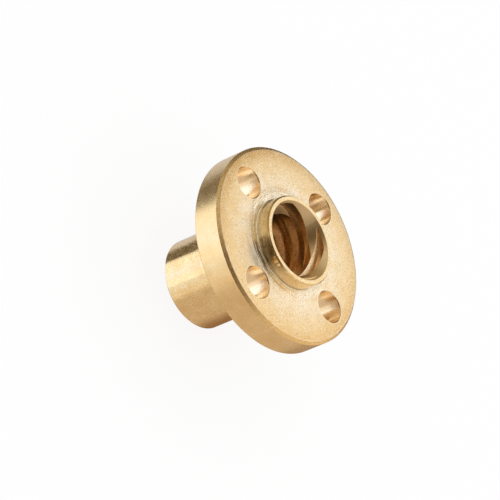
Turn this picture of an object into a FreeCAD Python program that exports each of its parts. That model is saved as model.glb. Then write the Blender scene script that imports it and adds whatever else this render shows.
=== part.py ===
import FreeCAD, Part
import os

import Sketcher

# Flanged lead screw nut, turned from one piece of brass.
# +Z is the bore axis and points out of the boss. The origin is the bore centre on the
# flange's seat, the face that the barrel grows from. One bolt hole lies on +X.

node_name = "flanged_nut"
full_turn = 360

# Driving dimensions in millimetres and degrees
driving_dimensions = [
    ("screw_diameter", 8, "nominal diameter of the screw that runs in the nut"),
    ("thread_pitch", 2, "axial distance from one thread ridge to the next"),
    ("thread_starts", 4, "separate grooves, side by side in one lead"),
    ("flank_angle", 15, "slope of each thread flank from square to the axis"),
    ("root_clearance", 0.25, "radial room between the screw's crest and the groove's root"),
    ("crest_relief", 0.5, "how far the bore is drilled beyond the thread's basic crest"),
    ("thread_play", 0.2, "axial room between the screw's thread and the groove"),
    ("thread_entry", 1.81, "depth of a groove's middle under the boss end, on the +X side"),
    ("mouth_relief", 0.18, "radial step from the groove's root out to each mouth's edge"),
    ("mouth_angle", 30, "slope of each mouth's cone from the axis"),
    ("rim_width", 0.42, "flat ring round the boss mouth"),
    ("boss_edge", 0.15, "chamfer on the boss end"),
    ("boss_height", 1.5, "boss above the flange face"),
    ("hole_diameter", 3.5, "bolt hole"),
    ("hole_count", 4, "bolt holes on their circle"),
    ("hole_edge", 0.08, "broken edge of a bolt hole"),
    ("boss_margin", 1.25, "flange left between the boss and a bolt hole"),
    ("flange_margin", 1.25, "flange left between a bolt hole and the rim"),
    ("flange_thickness", 3.5, "flange from its seat to its face"),
    ("flange_face_edge", 0.3, "chamfer between the flange's face and rim"),
    ("flange_seat_edge", 0.25, "chamfer between the flange's seat and rim"),
    ("barrel_wall", 0.75, "barrel's wall outside the groove's root"),
    ("barrel_length", 10, "barrel below the flange's seat"),
    ("barrel_edge", 0.2, "chamfer on the barrel end"),
]

doc = FreeCAD.newDocument("flanged_lead_screw_nut")
sheet = doc.addObject("Spreadsheet::Sheet", "Dimensions")
for row, (alias, value, meaning) in enumerate(driving_dimensions, start=1):
    sheet.set(f"A{row}", meaning)
    sheet.set(f"B{row}", str(value))
    sheet.setAlias(f"B{row}", alias)
doc.recompute()

# Radii and heights that follow from the driving dimensions, as expressions
pitch_radius = "(Dimensions.screw_diameter / 2 - Dimensions.thread_pitch / 4)"
crest_radius = f"({pitch_radius} - Dimensions.thread_pitch / 4 + Dimensions.crest_relief)"
root_radius = "(Dimensions.screw_diameter / 2 + Dimensions.root_clearance)"
mouth_radius = f"({root_radius} + Dimensions.mouth_relief)"
mouth_depth = f"(({mouth_radius} - {crest_radius}) / tan(Dimensions.mouth_angle))"
barrel_radius = f"({root_radius} + Dimensions.barrel_wall)"
boss_radius = f"({mouth_radius} + Dimensions.rim_width + Dimensions.boss_edge)"
hole_radius = "(Dimensions.hole_diameter / 2)"
bolt_circle_radius = f"({boss_radius} + Dimensions.boss_margin + {hole_radius})"
flange_radius = f"({bolt_circle_radius} + {hole_radius} + Dimensions.flange_margin)"
barrel_end = "(-Dimensions.barrel_length)"
seat = "(0)"
face = "(Dimensions.flange_thickness)"
boss_end = "(Dimensions.flange_thickness + Dimensions.boss_height)"


def origin_feature(body, role):
    return next(item for item in body.Origin.OriginFeatures if item.Role == role)


def upright_sketch(body, name):
    # Sketch on the body's XZ plane: across is the radius, up is the height
    sketch = body.newObject("Sketcher::SketchObject", name)
    sketch.AttachmentSupport = [(origin_feature(body, "XZ_Plane"), "")]
    sketch.MapMode = "FlatFace"
    return sketch


def tie(sketch, name, direction, corner, expression):
    # Named distance of a line's start from the sketch origin, bound to the sheet
    value = float(sheet.evalExpression(expression))
    index = sketch.addConstraint(Sketcher.Constraint(direction, -1, 1, corner, 1, value))
    sketch.renameConstraint(index, name)
    sketch.setExpression(f"Constraints.{name}", expression)


def draw_outline(sketch, corners):
    # Closed outline of straight lines. A corner that its line reaches level or upright
    # shares that height or radius, and every other one is tied to the sheet.
    points = []
    for name, radius, height in corners:
        across = float(sheet.evalExpression(radius))
        up = float(sheet.evalExpression(height))
        points.append(FreeCAD.Vector(across, up, 0))
    for index, start in enumerate(points):
        end = points[(index + 1) % len(points)]
        sketch.addGeometry(Part.LineSegment(start, end), False)
    for index, (name, radius, height) in enumerate(corners):
        before = index - 1
        if before >= 0 and corners[before][1] == radius:
            sketch.addConstraint(Sketcher.Constraint("Vertical", before))
        else:
            tie(sketch, f"{name}_radius", "DistanceX", index, radius)
        if before >= 0 and corners[before][2] == height:
            sketch.addConstraint(Sketcher.Constraint("Horizontal", before))
        else:
            tie(sketch, f"{name}_height", "DistanceY", index, height)
        after = (index + 1) % len(corners)
        sketch.addConstraint(Sketcher.Constraint("Coincident", index, 2, after, 1))


def repeat_around(body, feature, name, count):
    # Evenly spaced copies of a cut around the bore axis, with their faces left as cut
    pattern = body.newObject("PartDesign::PolarPattern", name)
    pattern.Originals = [feature]
    pattern.Axis = (origin_feature(body, "Z_Axis"), [""])
    pattern.Angle = full_turn
    pattern.setExpression("Occurrences", count)
    pattern.Refine = False
    body.Tip = pattern
    doc.recompute()
    return pattern


def turn_blank(body):
    # Half-section of barrel, flange, boss and bore, turned about the bore axis
    section = upright_sketch(body, "TurnedSection")
    draw_outline(section, [
        ("barrel_mouth", mouth_radius, barrel_end),
        ("barrel_rim", f"{barrel_radius} - Dimensions.barrel_edge", barrel_end),
        ("barrel_side", barrel_radius, f"{barrel_end} + Dimensions.barrel_edge"),
        ("barrel_root", barrel_radius, seat),
        ("seat_rim", f"{flange_radius} - Dimensions.flange_seat_edge", seat),
        ("flange_back", flange_radius, f"{seat} + Dimensions.flange_seat_edge"),
        ("flange_front", flange_radius, f"{face} - Dimensions.flange_face_edge"),
        ("face_rim", f"{flange_radius} - Dimensions.flange_face_edge", face),
        ("boss_root", boss_radius, face),
        ("boss_side", boss_radius, f"{boss_end} - Dimensions.boss_edge"),
        ("boss_rim", f"{boss_radius} - Dimensions.boss_edge", boss_end),
        ("boss_mouth", mouth_radius, boss_end),
        ("front_cone", crest_radius, f"{boss_end} - {mouth_depth}"),
        ("back_cone", crest_radius, f"{barrel_end} + {mouth_depth}"),
    ])
    blank = body.newObject("PartDesign::Revolution", "TurnedBlank")
    blank.Profile = section
    blank.ReferenceAxis = (section, ["V_Axis"])
    blank.Angle = full_turn
    doc.recompute()
    return blank


def drill_bolt_holes(body):
    # Half-section of one drilled hole with both edges broken, turned about its own axis.
    # Each 45 degree edge runs on past its face by its own width.
    section = upright_sketch(body, "HoleSection")
    flare_radius = f"{bolt_circle_radius} + {hole_radius} + 2 * Dimensions.hole_edge"
    wall_radius = f"{bolt_circle_radius} + {hole_radius}"
    draw_outline(section, [
        ("axis_low", bolt_circle_radius, f"{seat} - Dimensions.hole_edge"),
        ("flare_low", flare_radius, f"{seat} - Dimensions.hole_edge"),
        ("wall_low", wall_radius, f"{seat} + Dimensions.hole_edge"),
        ("wall_high", wall_radius, f"{face} - Dimensions.hole_edge"),
        ("flare_high", flare_radius, f"{face} + Dimensions.hole_edge"),
        ("axis_high", bolt_circle_radius, f"{face} + Dimensions.hole_edge"),
    ])
    first_line = section.Geometry[0]
    last_line = section.Geometry[section.GeometryCount - 1]
    axis = section.addGeometry(Part.LineSegment(first_line.StartPoint, last_line.StartPoint), True)
    section.addConstraint(Sketcher.Constraint("Coincident", axis, 1, 0, 1))
    section.addConstraint(Sketcher.Constraint("Coincident", axis, 2, axis - 1, 1))
    hole = body.newObject("PartDesign::Groove", "BoltHole")
    hole.Profile = section
    hole.ReferenceAxis = (section, ["Axis0"])
    hole.Angle = full_turn
    doc.recompute()
    return repeat_around(body, hole, "BoltCircle", "Dimensions.hole_count")


def cut_thread(body):
    # One trapezoidal groove swept along its helix, right-handed, then repeated for each start.
    # The sweep starts and ends at least two pitches outside the nut, and its section opens
    # a quarter of a pitch inside the bore. The faces are left as cut.
    lead = "Dimensions.thread_pitch * Dimensions.thread_starts"
    run_out = "(2 * Dimensions.thread_pitch)"
    inner_radius = f"({crest_radius} - Dimensions.thread_pitch / 4)"
    pitches_down = f"ceil(({boss_end} - {barrel_end}) / Dimensions.thread_pitch)"
    middle = (
        f"({boss_end} - Dimensions.thread_entry"
        f" - {pitches_down} * Dimensions.thread_pitch - {run_out})"
    )
    pitch_half = "(Dimensions.thread_pitch / 4 + Dimensions.thread_play / 2)"
    slope = "tan(Dimensions.flank_angle)"
    inner_half = f"({pitch_half} + ({pitch_radius} - {inner_radius}) * {slope})"
    root_half = f"({pitch_half} - ({root_radius} - {pitch_radius}) * {slope})"
    section = upright_sketch(body, "GrooveSection")
    draw_outline(section, [
        ("inner_low", inner_radius, f"{middle} - {inner_half}"),
        ("root_low", root_radius, f"{middle} - {root_half}"),
        ("root_high", root_radius, f"{middle} + {root_half}"),
        ("inner_high", inner_radius, f"{middle} + {inner_half}"),
    ])
    groove = body.newObject("PartDesign::SubtractiveHelix", "ThreadGroove")
    groove.Profile = section
    groove.ReferenceAxis = (section, ["V_Axis"])
    groove.Mode = "pitch-height-angle"
    groove.setExpression("Pitch", lead)
    groove.setExpression("Height", f"{boss_end} + {run_out} - {middle}")
    groove.Angle = 0
    groove.LeftHanded = False
    groove.Reversed = False
    groove.Refine = False
    doc.recompute()
    return repeat_around(body, groove, "ThreadStarts", "Dimensions.thread_starts")


def check_cut(before, after, name):
    # A cut that points away from the solid removes nothing and shows no error
    if after.Volume >= before.Volume:
        raise RuntimeError(f"{name} removed no material")


nut = doc.addObject("PartDesign::Body", "FlangedNut")
nut.Label = node_name
blank = turn_blank(nut)
holes = drill_bolt_holes(nut)
check_cut(blank.Shape, holes.Shape, "bolt circle")
threads = cut_thread(nut)
check_cut(holes.Shape, threads.Shape, "thread")
doc.recompute()

for item in doc.Objects:
    if "Invalid" in item.State or "Error" in item.State:
        raise RuntimeError(f"{item.Name} failed: {item.State}")
if nut.Shape.isNull() or not nut.Shape.isValid():
    raise RuntimeError(f"{nut.Label} has no valid shape")

os.makedirs("parts", exist_ok=True)
nut.Shape.exportStep(f"parts/{nut.Label}.step")
print(f"{nut.Label}: {len(nut.Shape.Solids)} solid, volume {nut.Shape.Volume:.2f} mm3")
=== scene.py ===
import math

import bmesh
import bpy
from mathutils import Matrix, Quaternion, Vector


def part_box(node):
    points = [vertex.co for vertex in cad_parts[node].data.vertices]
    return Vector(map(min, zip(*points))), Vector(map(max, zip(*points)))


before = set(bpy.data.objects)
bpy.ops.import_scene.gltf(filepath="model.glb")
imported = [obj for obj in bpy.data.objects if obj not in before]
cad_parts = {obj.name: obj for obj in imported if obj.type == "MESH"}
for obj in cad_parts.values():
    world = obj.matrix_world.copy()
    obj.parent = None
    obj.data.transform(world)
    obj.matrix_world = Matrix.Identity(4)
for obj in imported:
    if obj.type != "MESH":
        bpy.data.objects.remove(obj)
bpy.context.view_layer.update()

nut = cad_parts["flanged_nut"]
nutLow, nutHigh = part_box("flanged_nut")
scene = bpy.context.scene
mm = 0.001
print("frame loaded:", sorted(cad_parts))


# camera, set to the photograph's view of the nut

cameraSet = {
    "azimuth": 163.94,  # degrees round the bore axis, from the first bolt hole
    "elevation": 36.53,  # above the flange
    "roll": 66.67,  # the frame is turned, so the bore axis points right and up
    "distance": 359.06 * mm,
    "lens": 244.72,
    "sensor": 36.0,
    "slideRight": -1.569 * mm,
    "slideUp": 0.556 * mm,
}


def placeCamera():
    azimuth = math.radians(cameraSet["azimuth"])
    elevation = math.radians(cameraSet["elevation"])
    level = math.cos(elevation)
    back = Vector((math.cos(azimuth) * level, math.sin(azimuth) * level, math.sin(elevation)))
    roll = Quaternion((0, 0, 1), math.radians(cameraSet["roll"]))
    turn = back.to_track_quat("Z", "Y") @ roll
    data = bpy.data.cameras.new("photoCamera")
    data.lens = cameraSet["lens"]
    data.sensor_width = cameraSet["sensor"]
    camera = bpy.data.objects.new("photoCamera", data)
    camera.rotation_mode = "QUATERNION"
    camera.rotation_quaternion = turn
    stand = Vector((cameraSet["slideRight"], cameraSet["slideUp"], cameraSet["distance"]))
    camera.location = turn @ stand
    scene.collection.objects.link(camera)
    scene.camera = camera
    return turn


studioTurn = placeCamera()  # the studio is laid out in the picture's right, up and near
print("camera placed")


# shader helpers

def addNode(tree, kind, label="", **settings):
    node = tree.nodes.new(kind)
    node.label = label
    for name, value in settings.items():
        setattr(node, name, value)
    return node


def feed(tree, node, **inputs):  # sockets by name, with _ for a space, or by place, as i0
    for name, value in inputs.items():
        place = name[1:]
        socket = node.inputs[int(place) if place.isdigit() else name.replace("_", " ")]
        if isinstance(value, bpy.types.NodeSocket):
            tree.links.new(value, socket)
        else:
            socket.default_value = value


def calc(tree, operation, *values, clamp=False):
    node = addNode(tree, "ShaderNodeMath", operation=operation, use_clamp=clamp)
    feed(tree, node, **{f"i{index}": value for index, value in enumerate(values)})
    return node.outputs[0]


def band(tree, value, low, high, soft):  # 1 from low to high, with soft ends
    rise = addNode(tree, "ShaderNodeMapRange", interpolation_type="SMOOTHSTEP")
    feed(tree, rise, Value=value, From_Min=low - soft, From_Max=low + soft)
    fall = addNode(tree, "ShaderNodeMapRange", interpolation_type="SMOOTHSTEP")
    feed(tree, fall, Value=value, From_Min=high + soft, From_Max=high - soft)
    return calc(tree, "MULTIPLY", rise.outputs["Result"], fall.outputs["Result"])


def newGroup(name, inputs, outputs):
    group = bpy.data.node_groups.new(name, "ShaderNodeTree")
    for socketName, value in inputs.items():
        socket = group.interface.new_socket(socketName, in_out="INPUT", socket_type="NodeSocketFloat")
        socket.default_value = value
    for socketName in outputs:
        group.interface.new_socket(socketName, in_out="OUTPUT", socket_type="NodeSocketFloat")
    return group, group.nodes.new("NodeGroupInput"), group.nodes.new("NodeGroupOutput")


def emptyTree(owner):
    owner.use_nodes = True
    owner.node_tree.nodes.clear()
    return owner.node_tree


# brass

brassSet = {
    "deepTone": (0.79, 0.57, 0.285, 1),
    "paleTone": (0.88, 0.69, 0.395, 1),
    "ringSheenTone": (0.98, 0.94, 0.82, 1),  # painted sheen of the turned ring round the boss and of the face near it, whiter than the tumbled face
    "edgeTone": (0.81, 0.58, 0.29, 1),
    "breakTone": (0.88, 0.64, 0.30, 1),
    "bossTone": (0.90, 0.755, 0.49, 1),
    # paler brass in the bolt holes: painted light that offsets their oranger inter-reflections
    "holeLitTone": (0.99, 0.82, 0.58, 1),
    "mouthTone": (0.84, 0.685, 0.435, 1),
    "boreTone": (0.87, 0.64, 0.385, 1),
    "rootShadeTone": (0.34, 0.27, 0.15, 1),  # painted shade at the foot of the boss wall, broken up by tool marks
    "grainTone": (0.61, 0.42, 0.20, 1),  # dark grains
    "grainAndGlintTone": (0.97, 0.86, 0.63, 1),  # bright grains; also painted glints in the bore and a painted highlight along the worn edges
    "edgeShare": 0.7,
    "roughness": 0.18,  # where a zone has none of its own
    "faceRough": 0.30,
    "bossRough": 0.08,
    "mouthRough": 0.40,
    "boreRough": 0.20,
    "rimRough": 0.25,
    "barrelRough": 0.08,
    "breakRough": 0.36,
    "grainRough": 0.16,
    "mottleRough": 0.18,
    "streakRough": 1.2,  # the pale streaks round the boss are rougher than the dark ones
    "grainSize": 0.115 * mm,
    "markPitch": 0.07 * mm,
    "swirlPitch": 0.24 * mm,
    "swirlWander": 2.2,  # how often the streaks change on their way round
    "bumpDepth": 0.008 * mm,
    "swirlDepth": 16.0,  # grooves round the boss, against the other marks
    "rollOff": 40.0,  # how fast the face falls away towards its edge, per metre
    "lessGrain": {  # share of the face's grain that a smoother zone lacks
        "Rim": 0.65,
        "Barrel": 0.25,
        "Hole": 0.6,
        "Mouth": 0.6,
        "Boss": 0.6,
        "Bore": 0.1,
    },
    "spread": {  # gain and lift that make patches or lines of a noise
        "mottle": (2.4, -0.7),
        # painted sheen near the boss
        "sheenPatches": (2.0, -0.45),
        "streaks": (4.0, -1.1),
        # painted shade at the boss wall's foot
        "footShade": (-3.0, 1.85),
        # painted glints on the thread in the bore
        "glints": (5.0, -2.7),
        "grainy": (2.6, -0.6),
        "darkGrain": (-2.3, 0.0),
        "brightGrain": (2.1, 0.0),
        # worn lines, painted brighter as the edges' highlight too
        "wornSheen": (1.6, -0.3),
    },
}

grainSet = {  # sizes are in grains
    "cloudSize": 2.0,
    "cloudRough": 0.7,
    "cloudShare": 0.4,
    "patchSize": 7.0,
    "mottleSize": 14.0,
}

zoneSet = {  # where the nut's finish changes
    "bossRadius": 5.0 * mm,
    "flangeRadius": nutHigh.x,
    "faceHeight": 3.5 * mm,
    "bossHeight": nutHigh.z,
    "bossBreak": 0.17 * mm,
    "edgeBreak": 0.3 * mm,
    "holeCircle": 8.0 * mm,
    "holeRadius": 1.75 * mm,
    "mouthRadius": 4.43 * mm,
    "mouthAngle": 30.0,  # degrees, slope of each mouth's cone from the axis
    # the painted shade at the boss wall's foot
    "rootWidth": 0.28 * mm,
    "rootSoft": 0.2 * mm,
    "ringWidth": 1.1 * mm,
    "ringSoft": 0.5 * mm,
    # reach of the painted sheen round the boss
    "sheenWidth": 2.8 * mm,
    "sheenSoft": 2.2 * mm,
    "edgeWidth": 0.9 * mm,
    "edgeSoft": 0.8 * mm,
    "lineWidth": 0.16 * mm,  # worn lines along the flange's edge and round the bolt holes, painted brighter as their highlight as well
    "rollWidth": 2.0 * mm,
    "lipWidth": 0.16 * mm,
    "lipRound": 50.0,  # the lip's rounding against the roll-off
    "filletWidth": 0.22 * mm,  # small radius that the tool leaves at the boss root
    "filletRound": 60.0,
    "soft": 0.02 * mm,
    "near": 0.04 * mm,  # what still counts as lying on a face or cone
    "wallNear": 0.1 * mm,  # and on a turned wall
}


def latheGroup():
    group, inside, out = newGroup("latheMarks", {"Pitch": 0.1 * mm, "Wander": 1.0}, ("Height",))
    pitch = inside.outputs["Pitch"]
    place = addNode(group, "ShaderNodeTexCoord").outputs["Object"]
    flat = addNode(group, "ShaderNodeVectorMath", operation="MULTIPLY")
    feed(group, flat, i0=place, i1=(1, 1, 0))
    radius = addNode(group, "ShaderNodeVectorMath", operation="LENGTH")
    feed(group, radius, i0=flat.outputs[0])
    around = addNode(group, "ShaderNodeVectorMath", operation="NORMALIZE")
    feed(group, around, i0=flat.outputs[0])
    arc = addNode(group, "ShaderNodeVectorMath", operation="SCALE")
    feed(group, arc, i0=around.outputs[0], Scale=inside.outputs["Wander"])
    parts = addNode(group, "ShaderNodeSeparateXYZ")
    feed(group, parts, i0=place)
    along = addNode(group, "ShaderNodeCombineXYZ")
    feed(group, along, Z=calc(group, "DIVIDE", parts.outputs["Z"], pitch))
    spot = addNode(group, "ShaderNodeVectorMath", operation="ADD")
    feed(group, spot, i0=arc.outputs[0], i1=along.outputs[0])
    rings = addNode(group, "ShaderNodeTexNoise", noise_dimensions="4D")
    outward = calc(group, "DIVIDE", radius.outputs["Value"], pitch)
    feed(group, rings, Vector=spot.outputs[0], W=outward, Scale=1.0, Detail=2.0)
    feed(group, out, Height=rings.outputs[0])
    return group


def grainGroup():
    group, inside, out = newGroup("tumbledGrain", {"Size": 0.2 * mm}, ("Height", "Patch", "Mottle"))
    place = addNode(group, "ShaderNodeTexCoord").outputs["Object"]
    scale = calc(group, "DIVIDE", 1.0, inside.outputs["Size"])

    def cloudy(size, detail, rough=0.5):
        noise = addNode(group, "ShaderNodeTexNoise")
        coarse = calc(group, "DIVIDE", scale, grainSet[size])
        feed(group, noise, Vector=place, Scale=coarse, Detail=detail, Roughness=rough)
        return noise.outputs[0]

    cells = addNode(group, "ShaderNodeTexVoronoi")
    feed(group, cells, Vector=place, Scale=scale)
    cellShade = addNode(group, "ShaderNodeSeparateColor")
    feed(group, cellShade, Color=cells.outputs["Color"])
    cloud = cloudy("cloudSize", 3.0, grainSet["cloudRough"])
    mixed = addNode(group, "ShaderNodeMix", data_type="FLOAT")
    feed(group, mixed, Factor=grainSet["cloudShare"], i2=cellShade.outputs[0], i3=cloud)
    feed(
        group, out, Height=mixed.outputs[0],
        Patch=cloudy("patchSize", 2.0), Mottle=cloudy("mottleSize", 3.0),
    )
    return group


def zoneGroup():
    names = (
        "Face", "Root", "Ring", "Pale", "Edge", "Line", "Break",
        "Rim", "Barrel", "Roll", "Boss", "Hole", "Mouth", "Bore",
    )
    group, _, out = newGroup("turnedZones", {}, names)
    parts = addNode(group, "ShaderNodeSeparateXYZ")
    feed(group, parts, i0=addNode(group, "ShaderNodeTexCoord").outputs["Object"])
    x, y = (calc(group, "ABSOLUTE", parts.outputs[axis]) for axis in "XY")
    z = parts.outputs["Z"]
    boss, flange, face = zoneSet["bossRadius"], zoneSet["flangeRadius"], zoneSet["faceHeight"]
    soft, near, far = zoneSet["soft"], zoneSet["near"], 2 * flange

    def minus(first, second):
        return calc(group, "SUBTRACT", first, second)

    def both(first, second):
        return calc(group, "MULTIPLY", first, second)

    def length(first, second):
        return calc(group, "SQRT", calc(group, "MULTIPLY_ADD", first, first, both(second, second)))

    def past(value, start):
        return calc(group, "MAXIMUM", minus(value, start), 0.0)

    def within(value, low, high, ends=soft):
        return band(group, value, low, high, ends)

    radius = length(x, y)
    toHole = length(  # from the nearest bolt hole's axis
        minus(calc(group, "MAXIMUM", x, y), zoneSet["holeCircle"]),
        calc(group, "MINIMUM", x, y),
    )
    onFace = both(within(z, face - near, face + near), within(radius, boss - soft, far))
    flatEdge = flange - zoneSet["edgeBreak"]
    # worn edge and lip lines, also painted as their highlight
    wornEdgeSheen = within(radius, flatEdge - zoneSet["lineWidth"], flatEdge)
    wornLipSheen = within(toHole, zoneSet["holeRadius"], zoneSet["holeRadius"] + zoneSet["lineWidth"])
    reach = calc(group, "MINIMUM", radius, flatEdge)
    overEdge = past(reach, flange - zoneSet["rollWidth"])
    overLip = past(reach, flatEdge - zoneSet["lipWidth"])
    fillet = past(boss + zoneSet["filletWidth"], calc(group, "MAXIMUM", radius, boss))
    lipRoll = calc(
        group, "MULTIPLY_ADD", both(overLip, overLip), zoneSet["lipRound"], both(overEdge, overEdge),
    )
    wall = within(radius, boss - zoneSet["wallNear"], boss + zoneSet["wallNear"])
    outer = within(radius, flatEdge + soft, far)
    upright = within(z, zoneSet["edgeBreak"], face - zoneSet["edgeBreak"])
    inBore = within(radius, -far, zoneSet["mouthRadius"] + near)
    fromEnd = calc(group, "MINIMUM", minus(zoneSet["bossHeight"], z), minus(z, nutLow.z))
    slope = math.tan(math.radians(zoneSet["mouthAngle"]))
    offCone = calc(  # grooves and crests lie off the mouth's cone
        group, "MULTIPLY_ADD", fromEnd, slope, minus(radius, zoneSet["mouthRadius"]),
    )
    onCone = within(offCone, -far, near)
    feed(
        group, out, Face=onFace,
        # painted shade at the foot of the boss wall
        Root=both(within(z, face, face + zoneSet["rootWidth"], zoneSet["rootSoft"]), wall),
        Ring=both(within(radius, -far, boss + zoneSet["ringWidth"], zoneSet["ringSoft"]), onFace),
        # painted sheen on the face near the boss
        Pale=both(within(radius, -far, boss + zoneSet["sheenWidth"], zoneSet["sheenSoft"]), onFace),
        Edge=both(within(radius, flange - zoneSet["edgeWidth"], far, zoneSet["edgeSoft"]), onFace),
        # worn lines, painted brighter as the edges' highlight too
        Line=both(calc(group, "MAXIMUM", wornEdgeSheen, wornLipSheen), onFace),
        Break=both(outer, minus(1.0, upright)),
        Rim=both(outer, upright),
        Barrel=both(within(radius, boss - zoneSet["wallNear"], far), within(z, -far, -soft)),
        Roll=calc(group, "MULTIPLY_ADD", both(fillet, fillet), -zoneSet["filletRound"], lipRoll),
        Boss=both(within(z, face + near, zoneSet["bossHeight"] - zoneSet["bossBreak"]), wall),
        Hole=both(within(toHole, -far, zoneSet["holeRadius"] + soft), within(z, near, face - near)),
        Mouth=both(inBore, onCone),
        Bore=both(inBore, minus(1.0, onCone)),
    )
    return group


def brassMaterial():
    material = bpy.data.materials.new("satinBrass")
    tree = emptyTree(material)
    turning = latheGroup()
    lathe = addNode(tree, "ShaderNodeGroup", "tool marks", node_tree=turning)
    feed(tree, lathe, Pitch=brassSet["markPitch"])
    swirl = addNode(tree, "ShaderNodeGroup", "streaks round the boss", node_tree=turning)
    feed(tree, swirl, Pitch=brassSet["swirlPitch"], Wander=brassSet["swirlWander"])
    tumbled = addNode(tree, "ShaderNodeGroup", "grain", node_tree=grainGroup())
    feed(tree, tumbled, Size=brassSet["grainSize"])
    zones = addNode(tree, "ShaderNodeGroup", "zones", node_tree=zoneGroup()).outputs
    marks, streaks = lathe.outputs["Height"], swirl.outputs["Height"]
    grain, patch, mottle = (tumbled.outputs[name] for name in ("Height", "Patch", "Mottle"))

    def both(first, second):
        return calc(tree, "MULTIPLY", first, second)

    def plus(value, gain, rest):
        return calc(tree, "MULTIPLY_ADD", value, gain, rest)

    def swing(noise):  # a noise lies round a half
        return calc(tree, "SUBTRACT", noise, 0.5)

    def stretch(value, name):
        return calc(tree, "MULTIPLY_ADD", value, *brassSet["spread"][name], clamp=True)

    grainy = 1.0
    for zone, less in brassSet["lessGrain"].items():
        grainy = plus(zones[zone], -less, grainy)
    speck = both(swing(grain), both(grainy, stretch(patch, "grainy")))
    layers = (  # from the bottom up
        ("paleTone", stretch(mottle, "mottle")),
        # painted sheen: whiter patches near the boss and pale streaks in the turned ring
        ("ringSheenTone", both(zones["Pale"], stretch(mottle, "sheenPatches"))),
        ("ringSheenTone", both(zones["Ring"], stretch(streaks, "streaks"))),
        ("edgeTone", both(zones["Edge"], brassSet["edgeShare"])),
        ("breakTone", zones["Break"]),
        ("bossTone", zones["Boss"]),
        # painted light: paler brass in the bolt holes
        ("holeLitTone", zones["Hole"]),
        ("mouthTone", zones["Mouth"]),
        ("boreTone", zones["Bore"]),
        # painted shade in the corner where the boss wall meets the face
        ("rootShadeTone", both(zones["Root"], stretch(marks, "footShade"))),
        # painted glints on the thread in the bore
        ("grainAndGlintTone", both(zones["Bore"], stretch(marks, "glints"))),
        ("grainTone", stretch(speck, "darkGrain")),
        ("grainAndGlintTone", stretch(speck, "brightGrain")),
        # worn lines, painted brighter as the edges' highlight too
        ("grainAndGlintTone", both(zones["Line"], stretch(patch, "wornSheen"))),
    )
    tone = brassSet["deepTone"]
    for name, share in layers:
        mix = addNode(tree, "ShaderNodeMix", name, data_type="RGBA")
        feed(tree, mix, Factor=share, i6=tone, i7=brassSet[name])
        tone = mix.outputs[2]

    rough = plus(speck, brassSet["grainRough"], brassSet["roughness"])
    rough = plus(swing(mottle), brassSet["mottleRough"], rough)
    rough = plus(both(zones["Ring"], swing(streaks)), brassSet["streakRough"], rough)
    for zone in ("face", "boss", "mouth", "bore", "rim", "barrel", "break"):
        step = brassSet[zone + "Rough"] - brassSet["roughness"]
        rough = plus(zones[zone.capitalize()], step, rough)

    rolled = addNode(tree, "ShaderNodeBump", "edge roll-off and small radii", invert=True)
    feed(tree, rolled, Strength=1.0, Distance=brassSet["rollOff"], Height=zones["Roll"])
    grooves = both(both(zones["Ring"], streaks), brassSet["swirlDepth"])
    height = calc(tree, "ADD", plus(grain, grainy, marks), grooves)
    bump = addNode(tree, "ShaderNodeBump", "grain, tool marks and grooves")
    feed(
        tree, bump, Strength=1.0, Distance=brassSet["bumpDepth"],
        Height=height, Normal=rolled.outputs["Normal"],
    )
    shader = addNode(tree, "ShaderNodeBsdfPrincipled")
    feed(tree, shader, Base_Color=tone, Metallic=1.0, Roughness=rough, Normal=bump.outputs["Normal"])
    out = addNode(tree, "ShaderNodeOutputMaterial")
    feed(tree, out, Surface=shader.outputs["BSDF"])
    return material


nut.material_slots[0].material = brassMaterial()
print("brass finished")


# studio: white world, panels that only the metal mirrors, floor

studioSet = {
    "reach": 0.4,  # from the nut out to the panels
    "fade": 0.25,  # a soft panel is half clear at this share in from its edge
    "worldLevel": 1.0,
    "floorSize": 3.0,
    "floorGap": 0.01 * mm,  # keeps the floor off the barrel's end face
    "floorTone": 0.97,
    "floorGlow": 0.86,  # share of plain white that the camera sees, the rest keeps the shadow
}

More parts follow.
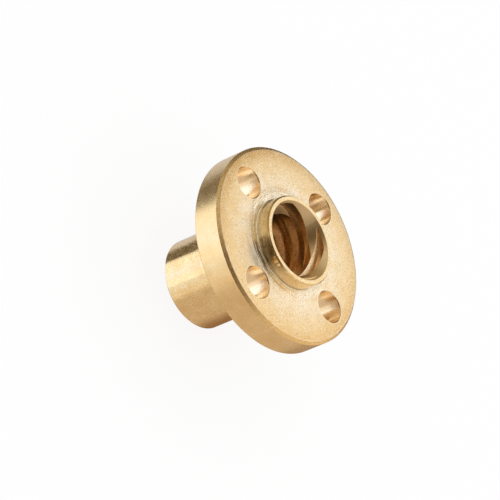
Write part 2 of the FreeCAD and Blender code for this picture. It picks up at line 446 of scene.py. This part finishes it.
# two corners in the picture's right, up and near, in shares of the reach; colour; strength
panels = {
    "leftSoftbox": ((-1, -0.15, -0.45), (-1, 0.625, 0.55), (1, 1, 1), 1.32),
    "leftCentre": ((-0.99, -0.05, -0.45), (-0.99, 0.45, 0.55), (0.93, 0.97, 1.2), 1.4),
    "rightSoftbox": ((1, 0.28, -0.5), (1, 0.56, 0.6), (1, 1, 1), 1.25),
    "rightWarm": ((1, -0.95, -0.75), (1, 0.28, 1.0), (1, 0.83, 0.62), 1.0),
    "rightFlag": ((1, 0.56, -0.72), (1, 1.0, 0.6), (0.66, 0.50, 0.31), 1.0),
    "topFlag": ((-1.3, 0.75, -1.0), (0.7, 0.75, -0.2), (0.165, 0.125, 0.072), 1.0),
    "ceiling": ((-0.6, 0.75, -0.2), (0.8, 0.75, 1.0), (0.86, 0.76, 0.60), 1.0),
    "cameraBoom": ((-0.03, 0.74, -0.2), (0.2, 0.74, 0.9), (0.32, 0.24, 0.14), 1.0),
    "backdrop": ((-0.75, -0.08, -1), (0.05, 0.7, -1), (0.73, 0.70, 0.69), 1.0),
    "backFlag": ((0.05, -0.2, -1), (0.8, 0.75, -1), (0.12, 0.085, 0.05), 1.0),
    "table": ((-0.95, -0.75, -1.0), (1.2, -0.75, 0.9), (0.695, 0.56, 0.43), 1.0),
    "tableRear": ((-0.8, -0.75, -1), (1.0, -0.08, -1), (0.48, 0.36, 0.24), 1.0),
    "tableEdge": ((-0.95, -0.9, -0.8), (-0.95, -0.15, 1.2), (1.0, 0.88, 0.72), 1.0),
    "tableSlope": ((-0.93, -0.95, -0.8), (-0.93, -0.5, 1.2), (0.77, 0.62, 0.47), 1.0),
    "cameraCore": ((-0.28, -0.4, 0.9), (0.2, 0.4, 0.9), (0.018, 0.011, 0.004), 1.0),
    "cameraRing": ((-0.5, -0.62, 0.95), (0.6, 0.62, 0.95), (0.15, 0.08, 0.022), 1.0),
    "cameraWall": ((-0.8, -0.75, 1), (0.95, 0.75, 1), (0.50, 0.42, 0.32), 1.0),
    "barrelShade": ((-0.04, -0.07, -0.026), (0.026, 0.02, -0.026), (0.32, 0.175, 0.08), 1.0),
}
softPanels = ("leftCentre", "barrelShade", "tableEdge", "tableSlope")  # fade out towards their edges


def glowMaterial(name, colour, strength):
    material = bpy.data.materials.new(name)
    tree = emptyTree(material)
    glow = addNode(tree, "ShaderNodeEmission")
    feed(tree, glow, Color=(*colour, 1), Strength=strength)
    surface = glow.outputs[0]
    if name in softPanels:
        parts = addNode(tree, "ShaderNodeSeparateXYZ")
        feed(tree, parts, i0=addNode(tree, "ShaderNodeTexCoord").outputs["UV"])
        fade = studioSet["fade"]
        inward = [band(tree, parts.outputs[axis], fade, 1 - fade, fade) for axis in "XY"]
        clear = addNode(tree, "ShaderNodeBsdfTransparent")
        soft = addNode(tree, "ShaderNodeMixShader")
        feed(tree, soft, Fac=calc(tree, "MULTIPLY", *inward), i1=clear.outputs[0], i2=surface)
        surface = soft.outputs[0]
    out = addNode(tree, "ShaderNodeOutputMaterial")
    feed(tree, out, Surface=surface)
    return material


def hangPanel(name, low, high, material):
    low, high = (Vector(corner) * studioSet["reach"] for corner in (low, high))
    span = high - low
    flat = min(range(3), key=lambda axis: span[axis])  # the axis that the panel faces along
    across = [axis for axis in range(3) if axis != flat]
    shape = Matrix.Translation((low + high) / 2).to_4x4()
    for column, axis in enumerate(across):
        shape.col[column] = Vector(span[axis] if row == axis else 0 for row in range(4))
    shape.col[2] = Vector(1 if row == flat else 0 for row in range(4))
    mesh = bpy.data.meshes.new(name)
    bm = bmesh.new()
    bm.loops.layers.uv.new("panel")
    bmesh.ops.create_grid(bm, x_segments=1, y_segments=1, size=0.5, calc_uvs=True)
    bmesh.ops.transform(bm, matrix=studioTurn.to_matrix().to_4x4() @ shape, verts=bm.verts)
    bm.to_mesh(mesh)
    bm.free()
    mesh.materials.append(material)
    panel = bpy.data.objects.new(name, mesh)
    scene.collection.objects.link(panel)
    panel.visible_camera = False
    panel.visible_diffuse = False
    panel.visible_shadow = False


def buildWorld():
    world = bpy.data.worlds.new("whiteStudio")
    scene.world = world
    tree = emptyTree(world)
    sky = addNode(tree, "ShaderNodeBackground")
    feed(tree, sky, Color=(1, 1, 1, 1), Strength=studioSet["worldLevel"])
    out = addNode(tree, "ShaderNodeOutputWorld")
    feed(tree, out, Surface=sky.outputs[0])


def floorMaterial():
    material = bpy.data.materials.new("whiteFloor")
    tree = emptyTree(material)
    tone = studioSet["floorTone"]
    paper = addNode(tree, "ShaderNodeBsdfDiffuse")
    feed(tree, paper, Color=(tone, tone, tone, 1))
    glow = addNode(tree, "ShaderNodeEmission")
    feed(tree, glow, Color=(1, 1, 1, 1), Strength=1.0)
    path = addNode(tree, "ShaderNodeLightPath")
    share = calc(tree, "MULTIPLY", path.outputs["Is Camera Ray"], studioSet["floorGlow"])
    lit = addNode(tree, "ShaderNodeMixShader")
    feed(tree, lit, Fac=share, i1=paper.outputs[0], i2=glow.outputs[0])
    out = addNode(tree, "ShaderNodeOutputMaterial")
    feed(tree, out, Surface=lit.outputs[0])
    return material


def layFloor():
    mesh = bpy.data.meshes.new("floor")
    bm = bmesh.new()
    bmesh.ops.create_grid(bm, x_segments=1, y_segments=1, size=studioSet["floorSize"] / 2)
    bmesh.ops.translate(bm, vec=(0, 0, nutLow.z - studioSet["floorGap"]), verts=bm.verts)
    bm.to_mesh(mesh)
    bm.free()
    mesh.materials.append(floorMaterial())
    floor = bpy.data.objects.new("floor", mesh)
    scene.collection.objects.link(floor)
    floor.visible_glossy = False  # the metal mirrors the studio that stands round the picture
    floor.visible_shadow = False


for name, (low, high, colour, strength) in panels.items():
    hangPanel(name, low, high, glowMaterial(name, colour, strength))
buildWorld()
layFloor()
scene.view_settings.view_transform = "Standard"
print("studio built")
